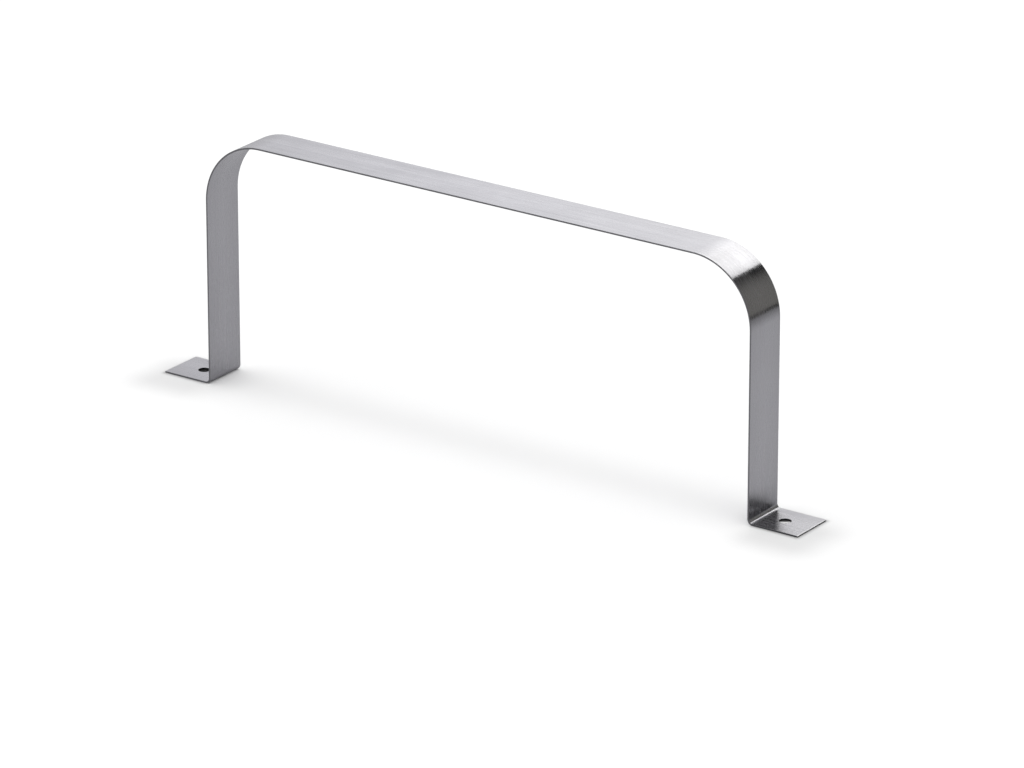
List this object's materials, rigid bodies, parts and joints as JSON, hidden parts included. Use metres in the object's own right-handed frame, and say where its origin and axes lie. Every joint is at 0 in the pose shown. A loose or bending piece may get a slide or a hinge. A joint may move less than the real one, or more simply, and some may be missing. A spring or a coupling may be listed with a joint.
{
  "type": "grab rail",
  "caption": "Flat stainless strip bent into a bridge-shaped grab rail: straight grip, rounded top corners, upright legs and out-turned feet with a screw hole each.",
  "frame": {"origin": "on the mounting surface, midway between the two feet and in the middle of the strip's width", "axes": "+X along the grip, +Y across the strip, +Z away from the mounting surface"},
  "size_m": [0.45, 0.03, 0.156],
  "materials": {
    "brushed_stainless": "fine satin grain brushed along the strip, with lightly softened cut edges"
  },
  "bodies": {
    "root": {"rail_strip": "brushed_stainless"}
  },
  "joints": []
}
